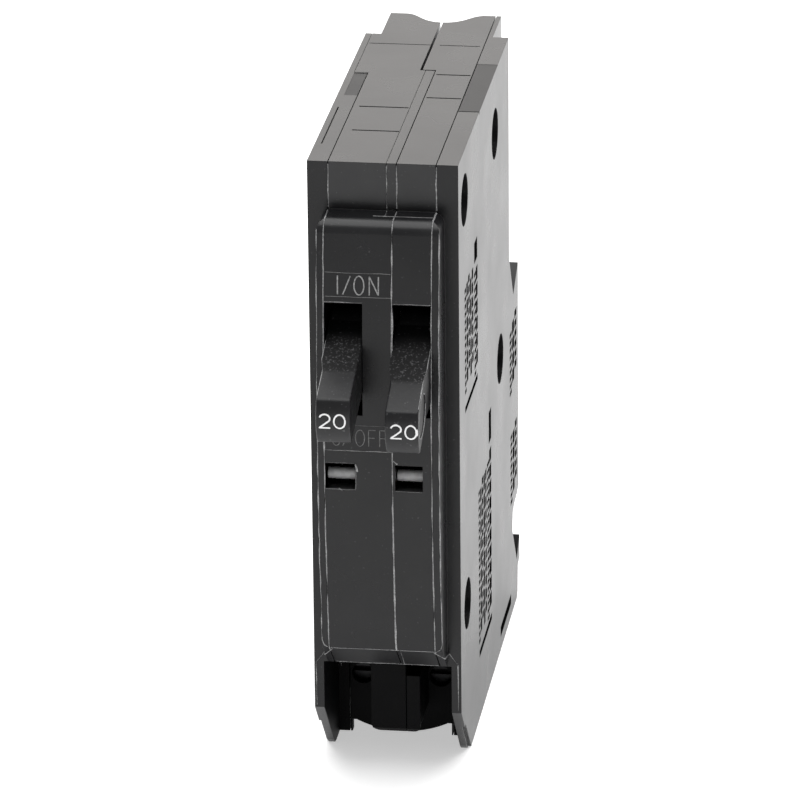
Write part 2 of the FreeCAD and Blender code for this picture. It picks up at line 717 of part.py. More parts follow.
def trip_flag(side):
    """Coloured plate under the bar, out of sight until the pole trips."""
    x0, x1 = BAR_SPAN[side]
    return box(x0, x1, -3.9, -3.1, 36.2, 39.2)


def pivot_pins(side):
    return Part.makeCompound([
        rod(side, TRIP_Y, TRIP_Z, PIN_RADIUS, 2.05, 7.5),
        rod(side, FLAG_Y, FLAG_Z, PIN_RADIUS, 2.05, 7.5),
    ])


def bimetal(side):
    """Upright strip fixed at its root, which bends to the rear when it is overheated."""
    return pole_box(side, 2.7, 6.1, 50.5, 51.4, 17.2, 44.6)


def armature(side):
    """Steel plate carried in front of the bimetal, with the latch hook above the trip lever's nose."""
    plate = pole_box(side, 2.7, 5.7, 46.9, 47.9, 30.0, 50.4)
    hook = pole_prism(side, [(46.9, 50.4), (45.7, 50.4), (46.2, 49.35), (46.9, 49.35)], 2.7, 3.8)
    bridge = pole_box(side, 3.4, 5.2, 47.9, 50.5, 42.4, 43.8)
    relief = pole_box(side, 2.6, 3.9, 46.8, 48.0, 46.0, 49.35)
    return cut(join([plate, hook, bridge]), [relief])


def yoke(side):
    """U-shaped magnet frame around the bimetal."""
    back = pole_box(side, 1.8, 7.0, 53.2, 54.4, 27.0, 40.0)
    legs = [
        pole_box(side, 1.8, 2.5, 49.5, 53.2, 27.0, 40.0),
        pole_box(side, 6.3, 7.0, 49.5, 53.2, 27.0, 40.0),
    ]
    stem = pole_box(side, 3.4, 5.2, 54.4, 58.2, 31.0, 36.0)
    return join([back, stem] + legs)


def braid(side):
    """Flexible lead beside the mechanism from the blade to the bimetal."""
    x = side * 6.75
    points = [
        (side * 6.2, 27.0, 53.0),
        (x, 30.5, 48.6),
        (x, 36.5, 46.9),
        (x, 44.5, 46.6),
        (x, 49.0, 45.2),
        (side * 6.75, 51.0, 41.8),
    ]
    return tube(points, 0.62, 2.4)


def arc_plates(side):
    """Stack of notched steel plates that cools the arc behind the contacts."""
    plates = []
    count, pitch, first = 4, 1.75, 57.7
    for index in range(count):
        z = first + index * pitch
        plate = pole_box(side, 2.2, 7.0, 38.4, 45.4, z, z + 0.9)
        notch = Part.Face(Part.makePolygon([
            Vector(side * 3.2, 38.0, z - 1.0),
            Vector(side * 6.0, 38.0, z - 1.0),
            Vector(side * POLE_X, 42.6, z - 1.0),
            Vector(side * 3.2, 38.0, z - 1.0),
        ])).extrude(Vector(0, 0, 3.0))
        plates.append(plate.cut(notch))
    return Part.makeCompound(plates)


def load_strap(side):
    """Copper strip from the bimetal's foot forward and down behind the wire lug."""
    outline = [
        (25.75, 3.2),
        (25.75, 14.7),
        (48.4, 14.7),
        (49.3, 15.6),
        (49.3, 19.4),
        (50.45, 19.4),
        (50.45, 15.0),
        (48.95, 13.5),
        (26.95, 13.5),
        (26.95, 3.2),
    ]
    return pole_prism(side, outline, 2.9, 6.9)


def wire_lug(side):
    """Box lug: a square collar with a threaded front wall, open to the wire from below."""
    outer = pole_box(side, 1.95, 7.85, 16.8, 25.7, 4.0, 12.4)
    inner = pole_box(side, 2.8, 7.0, 18.4, 24.5, 3.0, 13.0)
    hole = rod_y(side * TERMINAL_X, TERMINAL_Z, SCREW_RADIUS + RUNNING_GAP, 16.0, 19.0)
    return cut(outer, [inner, hole])


def terminal_screw(side):
    """Slotted clamp screw, backed out at rest."""
    shank = rod_y(side * TERMINAL_X, TERMINAL_Z, SCREW_RADIUS, 14.0, 18.9)
    stem = rod_y(side * TERMINAL_X, TERMINAL_Z, 0.7, 18.9, 19.3)
    low, high = TERMINAL_Z - 0.35, TERMINAL_Z + 0.35
    slot = pole_box(side, TERMINAL_X - 3.0, TERMINAL_X + 3.0, 13.5, 15.0, low, high)
    return cut(join([shank, stem]), [slot])


def screw_pad(side):
    """Loose foot on the screw's end, which presses the wire without turning."""
    return rod_y(side * TERMINAL_X, TERMINAL_Z, 1.8, 19.35, 20.1)


def calibration_screw(side):
    """Small set screw through the rear wall that sets the bimetal."""
    shank = rod_y(side * 4.4, 20.0, 1.0, 52.2, 59.4)
    slot = box(side * 4.4 - 2.0, side * 4.4 + 2.0, 58.8, 60.0, 19.8, 20.2)
    return cut(shank, [slot])


def calibration_hole(side):
    return [
        rod_y(side * 4.4, 20.0, 1.0, 58.0, 59.5),
        rod_y(side * 4.4, 20.0, 1.6, 59.5, 62.0),
    ]


# ---------------------------------------------------------------- line end


def line_bus():
    """Copper plate that joins both fixed contacts to the line jaw."""
    plate = box(-5.9, 5.9, 31.0, 35.0, BUS_BOTTOM, BUS_BOTTOM + BUS_THICK)
    tongue = box(-2.4, 2.4, 35.0, 46.7, BUS_BOTTOM, BUS_BOTTOM + BUS_THICK)
    return join([plate, tongue])


def line_jaw():
    """Spring-backed clip: two leaves that grip the panel's stab, flared at the mouth."""
    gap, thick = 0.7, 0.55
    leaves = []
    for side in (-1, 1):
        leaf = [
            (47.6, gap + 0.5),
            (47.6, gap + 0.5 + thick),
            (50.6, gap + thick),
            (54.2, gap + thick),
            (55.3, gap + 1.1 + thick),
            (55.3, gap + 1.1),
            (54.2, gap),
            (50.6, gap),
        ]
        points = [Vector(side * x, y, 58.0) for y, x in leaf]
        face = Part.Face(Part.makePolygon(points + points[:1]))
        leaves.append(face.extrude(Vector(0, 0, 15.0)))
    base = box(-gap - 0.5 - thick, gap + 0.5 + thick, 46.7, 47.7, 58.0, 73.0)
    return join([base] + leaves)


def jaw_spring():
    """U-shaped steel spring around the jaw's leaves."""
    sides = [pole_box(side, 2.1, 2.6, 48.0, 53.6, 62.5, 68.5) for side in (-1, 1)]
    toes = [pole_box(side, 1.3, 2.1, 53.0, 53.6, 62.5, 68.5) for side in (-1, 1)]
    bridge = box(-2.6, 2.6, 48.0, 53.6, 73.2, 73.7)
    posts = [pole_box(side, 2.1, 2.6, 48.0, 53.6, 68.5, 73.2) for side in (-1, 1)]
    return join(sides + toes + posts + [bridge])


# ---------------------------------------------------------------- output


def all_pieces():
    shells = case_shells()
    for name in ("body_left", "body_right"):
        side = -1 if name == "body_left" else 1
        shells[name] = cut(shells[name], calibration_hole(side))
    pieces = dict(shells)
    pieces["case_rivets"] = rivets()
    pieces["line_bus"] = line_bus()
    pieces["line_jaw"] = line_jaw()
    pieces["jaw_spring"] = jaw_spring()
    makers = [
        handle,
        arm_pin,
        contact_arm,
        moving_contact,
        fixed_contact,
        toggle_spring,
        trip_lever,
        flag_lever,
        window_bar,
        trip_flag,
        pivot_pins,
        bimetal,
        armature,
        yoke,
        braid,
        arc_plates,
        load_strap,
        wire_lug,
        terminal_screw,
        screw_pad,
        calibration_screw,
    ]
    for side, word in ((-1, "left"), (1, "right")):
        for maker in makers:
            pieces[maker.__name__ + "_" + word] = maker(side)
    return pieces


def place(shape, middle):
    moved = shape.copy()
    moved.translate(Vector(0, -middle, 0))
    return moved


def main():
    os.makedirs("parts", exist_ok=True)
    pieces = all_pieces()
    front = min(shape.optimalBoundingBox().YMin for shape in pieces.values())
    middle = (front + DEPTH) / 2
    print(f"front at y {front:.4f}, origin at y {middle:.4f} behind the shoulder")
    for name, shape in pieces.items():
        part = place(shape, middle)
        part.exportStep(os.path.join("parts", name + ".step"))
        print(f"{name:24s} solids {len(part.Solids)}  valid {part.isValid()}  volume {part.Volume:9.2f}")


main()
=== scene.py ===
import json
import math

import bpy
import numpy as np
from mathutils import Matrix, Vector
from mathutils.bvhtree import BVHTree


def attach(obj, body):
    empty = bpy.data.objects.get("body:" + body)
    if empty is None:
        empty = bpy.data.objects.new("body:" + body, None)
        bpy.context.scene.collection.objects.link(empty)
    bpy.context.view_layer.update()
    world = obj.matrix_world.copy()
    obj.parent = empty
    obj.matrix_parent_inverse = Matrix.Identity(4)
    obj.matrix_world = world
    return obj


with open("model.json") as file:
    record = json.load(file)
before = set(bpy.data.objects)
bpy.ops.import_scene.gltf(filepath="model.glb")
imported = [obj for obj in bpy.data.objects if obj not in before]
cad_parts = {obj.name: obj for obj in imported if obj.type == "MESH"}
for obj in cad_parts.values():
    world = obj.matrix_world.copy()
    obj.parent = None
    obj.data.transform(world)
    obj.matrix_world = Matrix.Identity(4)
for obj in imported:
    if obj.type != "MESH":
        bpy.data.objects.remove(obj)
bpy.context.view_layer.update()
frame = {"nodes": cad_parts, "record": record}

MM = 0.001
# y of the case's front shoulder in the frame, in mm
SHOULDER = -22.3901
COVERS = ["cover_left", "cover_right"]
BODIES = ["body_left", "center_partition", "body_right"]
SHELLS = ["cover_left", "body_left", "center_partition", "body_right", "cover_right"]


def at(x, y, z):
    """A point given in mm from the middle plane, the shoulder and the resting face."""
    return Vector((x, y + SHOULDER, z)) * MM


# ------------------------------------------------------------------ materials


class Tree:
    """A material and short calls that add and link its shader nodes."""

    def __init__(self, name):
        self.material = bpy.data.materials.new(name)
        self.material.use_nodes = True
        self.tree = self.material.node_tree
        self.shader = self.tree.nodes["Principled BSDF"]
        self.place = self.add("ShaderNodeTexCoord").outputs["Object"]

    def add(self, kind, **values):
        node = self.tree.nodes.new(kind)
        for key, value in values.items():
            setattr(node, key, value)
        return node

    def link(self, output, target):
        self.tree.links.new(output, target)

    def noise(self, scale, detail, roughness, stretch=(1, 1, 1)):
        mapping = self.add("ShaderNodeMapping")
        mapping.inputs["Scale"].default_value = stretch
        self.link(self.place, mapping.inputs["Vector"])
        node = self.add("ShaderNodeTexNoise")
        node.inputs["Scale"].default_value = scale
        node.inputs["Detail"].default_value = detail
        node.inputs["Roughness"].default_value = roughness
        self.link(mapping.outputs["Vector"], node.inputs["Vector"])
        return node.outputs["Fac"]

    def ramp(self, source, low, high, low_value, high_value):
        node = self.add("ShaderNodeMapRange")
        node.inputs["From Min"].default_value = low
        node.inputs["From Max"].default_value = high
        node.inputs["To Min"].default_value = low_value
        node.inputs["To Max"].default_value = high_value
        self.link(source, node.inputs["Value"])
        return node.outputs["Result"]

    def multiply(self, a, b):
        node = self.add("ShaderNodeMath", operation="MULTIPLY")
        self.link(a, node.inputs[0])
        self.link(b, node.inputs[1])
        return node.outputs[0]

    def mix(self, factor, a, b):
        """From colour a to colour b."""
        node = self.add("ShaderNodeMix", data_type="RGBA")
        node.inputs[6].default_value = (*a, 1)
        node.inputs[7].default_value = (*b, 1)
        self.link(factor, node.inputs[0])
        return node.outputs[2]

    def mix_over(self, factor, under, over):
        """From a linked colour to the colour over."""
        node = self.add("ShaderNodeMix", data_type="RGBA")
        self.link(under, node.inputs[6])
        node.inputs[7].default_value = (*over, 1)
        self.link(factor, node.inputs[0])
        return node.outputs[2]

    def bump(self, height, strength, distance, normal):
        node = self.add("ShaderNodeBump")
        node.inputs["Strength"].default_value = strength
        node.inputs["Distance"].default_value = distance
        self.link(height, node.inputs["Height"])
        self.link(normal, node.inputs["Normal"])
        return node.outputs["Normal"]

    def bevel(self, radius):
        node = self.add("ShaderNodeBevel", samples=4)
        node.inputs["Radius"].default_value = radius
        return node.outputs["Normal"]

    def set(self, **values):
        """Sets or links the shader's sockets, named with underscores for spaces."""
        for key, value in values.items():
            socket = self.shader.inputs[key.replace("_", " ")]
            if isinstance(value, tuple) and len(value) == 3:
                socket.default_value = (*value, 1)
            elif isinstance(value, (int, float)):
                socket.default_value = value
            else:
                self.link(value, socket)


GRAIN_DEPTH = 0.06 * MM
CASE_EDGE = 0.12 * MM
HANDLE_EDGE = 0.06 * MM


def black_plastic(name, tones, roughness, spread, grain, specks, shine=0.30):
    """Moulded black plastic: faint clouds, fine grain and pale dust specks."""
    t = Tree(name)
    clouds = t.ramp(t.noise(160, 5, 0.6), 0.35, 0.7, 0.0, 1.0)
    colour = t.mix(clouds, *tones)
    dust = t.ramp(t.noise(2600, 2, 0.5), 0.70 - 0.03 * specks, 0.76, 0.0, 0.55 * min(specks, 1.0))
    colour = t.mix_over(dust, colour, (0.16, 0.16, 0.165))
    rough = t.ramp(t.noise(90, 3, 0.5), 0.3, 0.7, roughness - spread, roughness + spread)
    normal = t.bump(t.noise(1500, 4, 0.6), grain, GRAIN_DEPTH, t.bevel(CASE_EDGE))
    t.set(Base_Color=colour, Roughness=rough, Normal=normal)
    t.shader.inputs["Specular IOR Level"].default_value = shine
    return t.material


def handle_plastic():
    """Black plastic, smooth on the finger block; towards the slot rougher and dusty, with painted shade
    darkening its colour.
    """
    t = Tree("handle_black_plastic")
    split = t.add("ShaderNodeSeparateXYZ")
    t.link(t.place, split.inputs[0])
    depth = split.outputs["Y"]
    block_end = (SHOULDER - 11.2) * MM
    slot_mouth = (SHOULDER - 4.6) * MM
    outside = t.ramp(depth, slot_mouth, slot_mouth + 0.4 * MM, 1.0, 0.0)
    shade_and_dust = t.ramp(depth, block_end, block_end + 0.8 * MM, 0.0, 1.0)
    clouds = t.ramp(t.noise(160, 5, 0.6), 0.35, 0.7, 0.0, 1.0)
    colour = t.mix(clouds, (0.010, 0.010, 0.011), (0.016, 0.016, 0.017))
    # painted shade: the colour darkens towards the slot
    colour = t.mix_over(shade_and_dust, colour, (0.0025, 0.0025, 0.0028))
    dust = t.ramp(t.noise(3000, 3, 0.65), 0.56, 0.68, 0.0, 0.8)
    specks = t.ramp(t.noise(2600, 2, 0.5), 0.66, 0.74, 0.0, 0.6)
    colour = t.mix_over(t.multiply(t.multiply(dust, shade_and_dust), outside), colour, (0.13, 0.13, 0.135))
    colour = t.mix_over(specks, colour, (0.10, 0.10, 0.105))
    t.set(Base_Color=colour, Roughness=t.ramp(shade_and_dust, 0.0, 1.0, 0.36, 0.70))
    t.set(Normal=t.bump(t.noise(1500, 4, 0.6), 0.35, GRAIN_DEPTH, t.bevel(HANDLE_EDGE)))
    t.shader.inputs["Specular IOR Level"].default_value = 0.30
    return t.material


def metal(name, base, tint, roughness, stretch=(1, 1, 1), metallic=1.0):
    """Metal with faint streaks in its tone and roughness."""
    t = Tree(name)
    streak = t.noise(900, 4, 0.6, stretch)
    t.set(Base_Color=t.mix(t.ramp(streak, 0.35, 0.7, 0.0, 1.0), base, tint), Metallic=metallic)
    t.set(Roughness=t.ramp(streak, 0.3, 0.7, roughness - 0.07, roughness + 0.08))
    t.set(Normal=t.bump(streak, 0.15, 0.04 * MM, t.bevel(0.08 * MM)))
    return t.material


def plain(name, base, tint, roughness, scale=1500, shine=0.5):
    """A clouded surface with one roughness."""
    t = Tree(name)
    cloud = t.noise(scale, 3, 0.6)
    t.set(Base_Color=t.mix(t.ramp(cloud, 0.3, 0.7, 0.0, 1.0), base, tint), Roughness=roughness)
    t.shader.inputs["Specular IOR Level"].default_value = shine
    return t.material


CASE_TONES = ((0.0042, 0.0042, 0.0050), (0.0075, 0.0075, 0.0082))
# darker tones of the case plastic for the load end's recess: painted shade
LOAD_END_SHADE_TONES = ((0.0022, 0.0022, 0.0024), (0.0035, 0.0035, 0.0038))
# lighter tones of the case plastic: painted sheen, standing in for the reflection on the front shoulder and
# the nose top
SHEEN_TONES = ((0.008, 0.008, 0.009), (0.014, 0.014, 0.015))
MATERIALS = {
    "case_black": black_plastic("case_black_plastic", CASE_TONES, 0.28, 0.02, 0.06, 0.30),
    "handle_black": handle_plastic(),
    "steel": metal("zinc_steel", (0.56, 0.56, 0.55), (0.68, 0.68, 0.66), 0.32),
    "dark_steel": metal("black_rivet", (0.012, 0.012, 0.013), (0.025, 0.025, 0.026), 0.42, metallic=0.6),
    "copper": metal("bare_copper", (0.70, 0.37, 0.24), (0.80, 0.46, 0.32), 0.30),
    "silver": metal("silver_contact", (0.76, 0.75, 0.72), (0.86, 0.85, 0.83), 0.25),
    "bimetal": metal("bimetal_strip", (0.58, 0.52, 0.38), (0.68, 0.61, 0.46), 0.30, stretch=(1, 1, 0.1)),
    "flag_orange": plain("flag_orange_plastic", (0.75, 0.16, 0.03), (0.85, 0.21, 0.05), 0.45),
    "indicator_grey": plain("indicator_grey_plastic", (0.42, 0.42, 0.425), (0.56, 0.56, 0.56), 0.5),
    "lug_metal": metal("tinned_lug", (0.62, 0.62, 0.63), (0.72, 0.72, 0.72), 0.38),
}
# materials of single faces: painted shade in the load end, the shallow top panels, painted shade on the
# chin, the flat sides, painted sheen on the front shoulder and nose top
# a darker, duller copy of the case plastic: painted shade in the load end
SHADE_IN_LOAD_END = black_plastic("case_black_load_end_shade", LOAD_END_SHADE_TONES, 0.5, 0.05, 0.1, 0.0, shine=0.06)
SATIN = black_plastic("case_black_satin", CASE_TONES, 0.40, 0.02, 0.06, 0.3, shine=0.20)
# a less shiny copy of the case plastic: painted shade, used on the chin and on the right handle's outer
# side
SHADED_COPY = black_plastic("case_black_shaded_copy", CASE_TONES, 0.4, 0.02, 0.06, 0.3, shine=0.10)
FLAT = black_plastic("case_black_flat", CASE_TONES, 0.28, 0.02, 0.06, 0.3, shine=0.12)
# a lighter, shinier copy of the case plastic with more dust specks: painted sheen standing in for reflected
# light
PAINTED_SHEEN = black_plastic("case_black_painted_sheen", SHEEN_TONES, 0.30, 0.03, 0.10, 0.5, shine=0.42)
# pale strips: moulding flash along the seams, and painted highlight along edges of the legs and the handles
FLASH_AND_HIGHLIGHT = plain("moulding_flash_and_highlight", (0.16, 0.16, 0.165), (0.46, 0.46, 0.46), 0.6, 4000, 0.2)
RAISED = plain("raised_marks", (0.08, 0.08, 0.08), (0.20, 0.20, 0.20), 0.5, 4000, 0.3)
# a lighter grey for the I/ON marks and one band line than for the other raised marks
BRIGHT = plain("raised_marks_brighter", (0.12, 0.12, 0.12), (0.42, 0.42, 0.42), 0.5, 3000, 0.3)
PRINT = plain("white_print", (0.80, 0.80, 0.81), (0.88, 0.88, 0.88), 0.5)
INK = plain("matte_black_fill", (0.002, 0.002, 0.002), (0.004, 0.004, 0.004), 1.0, 1500, 0.0)
FLOOR = plain("studio_floor", (0.84, 0.84, 0.845), (0.86, 0.86, 0.86), 0.8, 3, 0.2)
FLOOR_GLOW = 0.48
floor_shader = FLOOR.node_tree.nodes["Principled BSDF"]
floor_shader.inputs["Emission Color"].default_value = (1.0, 1.0, 1.0, 1.0)
floor_shader.inputs["Emission Strength"].default_value = FLOOR_GLOW

slots = {entry["node"]: entry["material_slot"] for entry in frame["record"]["subparts"]}
for node_name, node in frame["nodes"].items():
    node.data.materials.clear()
    node.data.materials.append(MATERIALS[slots[node_name]])


def faces_to_finish_or_painted_light(names, material, wanted):
    """Gives another material to the faces of these nodes whose centre and normal pass the test: a finish,
    or a copy with painted sheen or shade.
    """
    for name in names:
        mesh = frame["nodes"][name].data
        mesh.materials.append(material)
        for polygon in mesh.polygons:
            centre = polygon.center / MM
            if wanted(centre.x, centre.y - SHOULDER, centre.z, polygon.normal):
                polygon.material_index = len(mesh.materials) - 1


faces_to_finish_or_painted_light(COVERS, FLAT, lambda x, y, z, n: abs(x) > 9.1)
# painted sheen: the front faces of the shoulder and the top of the nose get the lighter copy
faces_to_finish_or_painted_light(BODIES, PAINTED_SHEEN, lambda x, y, z, n: z > 74.1 and n.y < -0.9 and y < 0.3)
faces_to_finish_or_painted_light(SHELLS, PAINTED_SHEEN, lambda x, y, z, n: z > 72.4 and y < -0.6 and n.z > 0.1)
# painted shade: the downward faces of the chin get the less shiny copy
faces_to_finish_or_painted_light(SHELLS, SHADED_COPY, lambda x, y, z, n: z < 18.6 and y < 2.0 and n.z < -0.2 and abs(x) < 7.5)
# painted shade: faces inside the load end get the darker copy
faces_to_finish_or_painted_light(SHELLS, SHADE_IN_LOAD_END, lambda x, y, z, n: z < 15.2 and 0.4 < y < 27.5 and abs(x) < 8.1)
# painted shade: the right handle's outer side gets the darker, less shiny case copy
faces_to_finish_or_painted_light(["handle_right"], SHADED_COPY, lambda x, y, z, n: n.x > 0.6 and y < -4.0)
faces_to_finish_or_painted_light(COVERS, SATIN, lambda x, y, z, n: 79.94 < z < 79.99 and n.z > 0.9)


# ------------------------------------------------------------------ fine pieces on the surface


def tree_of(names):
    """A search tree over the nodes' surfaces at rest."""
    vertices, polygons = [], []
    for name in names:
        mesh = frame["nodes"][name].data
        offset = len(vertices)
        vertices += [v.co.copy() for v in mesh.vertices]
        polygons += [[offset + i for i in p.vertices] for p in mesh.polygons]
    return BVHTree.FromPolygons(vertices, polygons)


CASE = tree_of(SHELLS)
# a strip along a seam looks this far to each side of it for the surface, in mm
SEAM_REACH = 0.14
STRIP_SUNK = 0.03


def drop_on(surface):
    """A function that gives a surface's front point at (x, z), looking back along +y."""

    def drop(x, z):
        hit = surface.ray_cast(at(x, -60, z), Vector((0, 1, 0)))
        return hit[0], hit[1]

    return drop


def drop_front(x, z):
    """The case's front-most point beside (x, z), so that a strip bridges the gap of a seam."""
    hits = [CASE.ray_cast(at(x + dx, -40, z), Vector((0, 1, 0))) for dx in (-SEAM_REACH, 0.0, SEAM_REACH)]
    hits = [hit for hit in hits if hit[0] is not None]
    if not hits:
        return None, None
    nearest = min(hits, key=lambda hit: hit[0].y)
    point = nearest[0].copy()
    point.x = x * MM
    return point, nearest[1]


def drop_top(x, y):
    """The nose's highest point beside (x, y), so that a strip bridges the gap of a seam."""
    hits = [CASE.ray_cast(at(x + dx, y, 78), Vector((0, 0, -1))) for dx in (-SEAM_REACH, 0.0, SEAM_REACH)]
    hits = [hit for hit in hits if hit[0] is not None]
    if not hits:
        return None, None
    highest = max(hits, key=lambda hit: hit[0].z)
    point = highest[0].copy()
    point.x = x * MM
    return point, highest[1]


def add_mesh(name, vertices, polygons, material, body):
    """A new piece that moves with a body."""
    mesh = bpy.data.meshes.new(name)
    mesh.from_pydata([tuple(v) for v in vertices], [], polygons)
    mesh.update()
    obj = bpy.data.objects.new(name, mesh)
    bpy.context.scene.collection.objects.link(obj)
    mesh.materials.append(material)
    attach(obj, body)


def wobble(count, size, seed):
    """Smooth random values along a line."""
    local = np.random.default_rng(seed)
    knots = local.normal(0, size, max(count // 4, 2) + 2)
    return np.interp(np.linspace(0, len(knots) - 1, count), np.arange(len(knots)), knots)


class Ribbons:
    """Collects thin raised strips into one mesh."""

    def __init__(self):
        self.vertices, self.polygons = [], []

    def strip(self, points, normals, widths, height):
        """A strip with a triangular section along points, sunk slightly into the surface."""
        if len(points) < 2:
            return
        base = len(self.vertices)
        for i, (point, normal) in enumerate(zip(points, normals)):
            ahead = points[min(i + 1, len(points) - 1)] - points[max(i - 1, 0)]
            across = ahead.cross(normal)
            if across.length < 1e-9:
                across = Vector((1, 0, 0))
            across.normalize()
            half = across * widths[i] * MM / 2
            low = normal * -STRIP_SUNK * MM
            self.vertices += [point - half + low, point + normal * height * MM, point + half + low]
        for i in range(len(points) - 1):
            a, b = base + 3 * i, base + 3 * i + 3
            self.polygons += [[a, a + 1, b + 1, b], [a + 1, a + 2, b + 2, b + 1], [a + 2, a, b, b + 2]]
        last = base + 3 * (len(points) - 1)
        self.polygons += [[base, base + 2, base + 1], [last, last + 1, last + 2]]

    def run(self, drop, corners, width, height, seed, step=0.35, jitter=0.02, spread=0.35):
        """A strip through (a, b) corners, dropped onto a surface by the given function."""
        flat = [corners[0]]
        for p, q in zip(corners, corners[1:]):
            length = math.hypot(q[0] - p[0], q[1] - p[1])
            count = max(int(length / step), 1)
            for k in range(1, count + 1):
                flat.append((p[0] + (q[0] - p[0]) * k / count, p[1] + (q[1] - p[1]) * k / count))
        shift = wobble(len(flat), jitter, seed)
        widths = np.clip(width * (1 + wobble(len(flat), spread, seed + 50)), 0.03, None)
        points, normals = [], []
        for i, (a, b) in enumerate(flat):
            ahead = np.array(flat[min(i + 1, len(flat) - 1)]) - np.array(flat[max(i - 1, 0)])
            ahead = ahead / (np.linalg.norm(ahead) + 1e-9)
            hit = drop(a - ahead[1] * shift[i], b + ahead[0] * shift[i])
            if hit[0] is not None:
                points.append(hit[0])
                normals.append(hit[1])
        self.strip(points, normals, widths, height)

    def make(self, name, material, body):
        add_mesh(name, self.vertices, self.polygons, material, body)


# ------------------------------------------------------------------ flash, moulded lines and painted edge highlights on the front

# each run: corners as (x, z), and width, in mm
FRONT_RUNS = [
    ([(-6.6, 79.7), (-6.6, 74.2)], 0.15),
    ([(-6.6, 73.6), (-6.6, 18.0)], 0.16),
    ([(0.5, 79.7), (0.5, 74.3)], 0.13),
    ([(1.7, 79.7), (1.7, 74.3)], 0.15),
    ([(1.7, 73.6), (1.7, 18.6)], 0.19),
    ([(6.5, 79.7), (6.5, 74.2)], 0.15),
    ([(6.5, 73.6), (6.5, 18.0)], 0.14),
    ([(-7.40, 72.9), (-7.40, 19.6), (-7.2, 18.9), (-6.6, 18.5)], 0.13),
    ([(7.40, 72.9), (7.40, 19.6), (7.2, 18.9), (6.6, 18.5)], 0.12),
    ([(-6.2, 18.3), (-8.95, 14.6)], 0.13),
    ([(6.3, 18.3), (8.8, 15.0)], 0.14),
    ([(2.2, 18.0), (2.1, 15.0)], 0.10),
    ([(-6.4, 18.55), (6.4, 18.55)], 0.06),
    ([(-6.4, 14.95), (6.4, 14.95)], 0.07),
    # the runs on the legs, at x ±8.9, ±8.75 and ±7.68, are painted edge highlights
    ([(-8.9, 14.6), (-8.9, 8.9)], 0.12),
    ([(8.75, 15.0), (8.75, 8.9)], 0.22),
    ([(-7.68, 14.4), (-7.68, 8.9)], 0.10),
    ([(7.68, 14.4), (7.68, 8.9)], 0.08),
    ([(-6.6, 64.06), (-1.85, 64.06)], 0.08),
    ([(1.8, 64.06), (6.4, 64.06)], 0.08),
    ([(-6.5, 40.2), (-2.85, 40.2)], 0.09),
    ([(-6.5, 43.7), (-3.0, 43.7)], 0.07),
    ([(-2.76, 43.4), (-2.76, 40.3)], 0.08),
    ([(2.1, 40.2), (5.3, 40.2)], 0.07),
    ([(-2.80, 43.6), (-2.55, 42.6)], 0.30),
    ([(1.85, 44.2), (2.30, 43.75)], 0.22),
    ([(-4.9, 40.25), (-4.4, 40.05)], 0.25),
]
# the same on the nose's flat top, as (x, y)
TOP_RUNS = [
    ([(-6.6, -0.1), (-6.6, -4.0)], 0.16),
    ([(1.7, -0.1), (1.7, -4.0)], 0.18),
    ([(6.5, -0.1), (6.5, -4.0)], 0.15),
    ([(-0.9, -2.1), (6.4, -2.1)], 0.09),
    ([(0.5, -0.1), (0.5, -2.1)], 0.14),
    ([(0.3, -2.1), (0.8, -2.1)], 0.40),
]
FLASH_RISE = 0.05
flash_and_highlights = Ribbons()
for seed, (corners, width) in enumerate(FRONT_RUNS):
    flash_and_highlights.run(drop_front, corners, width, FLASH_RISE, seed + 1, spread=0.45)
for seed, (corners, width) in enumerate(TOP_RUNS):
    flash_and_highlights.run(drop_top, corners, width, FLASH_RISE, seed + 101, spread=0.45)
flash_and_highlights.make("flash_and_highlights_front", FLASH_AND_HIGHLIGHT, "case")


# ------------------------------------------------------------------ marks


def round_stroke(cx, cz, rx, rz, start=0.0, end=360.0, count=28):
    """Points of an ellipse arc in degrees, counted from +x towards +z."""
    angles = np.radians(np.linspace(start, end, count))
    return [(cx + rx * math.cos(a), cz + rz * math.sin(a)) for a in angles]


# strokes in a box one unit wide and one unit tall
GLYPHS = {
    "0": [round_stroke(0.5, 0.5, 0.46, 0.5)],
    "2": [round_stroke(0.5, 0.70, 0.43, 0.30, 165, -35, 18) + [(0.04, 0.0), (0.96, 0.0)]],
    "I": [[(0.5, 0.0), (0.5, 1.0)]],
    "/": [[(0.0, 0.0), (1.0, 1.0)]],
    "O": [round_stroke(0.5, 0.5, 0.46, 0.5)],
    "N": [[(0.08, 0.0), (0.08, 1.0), (0.92, 0.0), (0.92, 1.0)]],
    "F": [[(0.1, 0.0), (0.1, 1.0), (0.95, 1.0)], [(0.1, 0.52), (0.85, 0.52)]],
}


def write(ribbons, drop, glyph, x, z, width, height, stroke, rise, seed=3):
    """One glyph with its lower left corner at (x, z)."""
    for points in GLYPHS[glyph]:
        corners = [(x + a * width, z + b * height) for a, b in points]
        ribbons.run(drop, corners, stroke, rise, seed, step=0.12, jitter=0.0, spread=0.0)


# the rating figures on the handles' ends
for word, middle_x, foot_z in (("left", -4.04, 52.1), ("right", 4.45, 50.9)):
    figures = Ribbons()
    surface = drop_on(tree_of(["handle_" + word]))
    for glyph, x, width in (("2", middle_x - 1.62, 1.44), ("0", middle_x + 0.15, 1.47)):
        write(figures, surface, glyph, x, foot_z, width, 1.72, 0.40, 0.03)
    figures.make("rating_mark_" + word, PRINT, "handle_" + word)

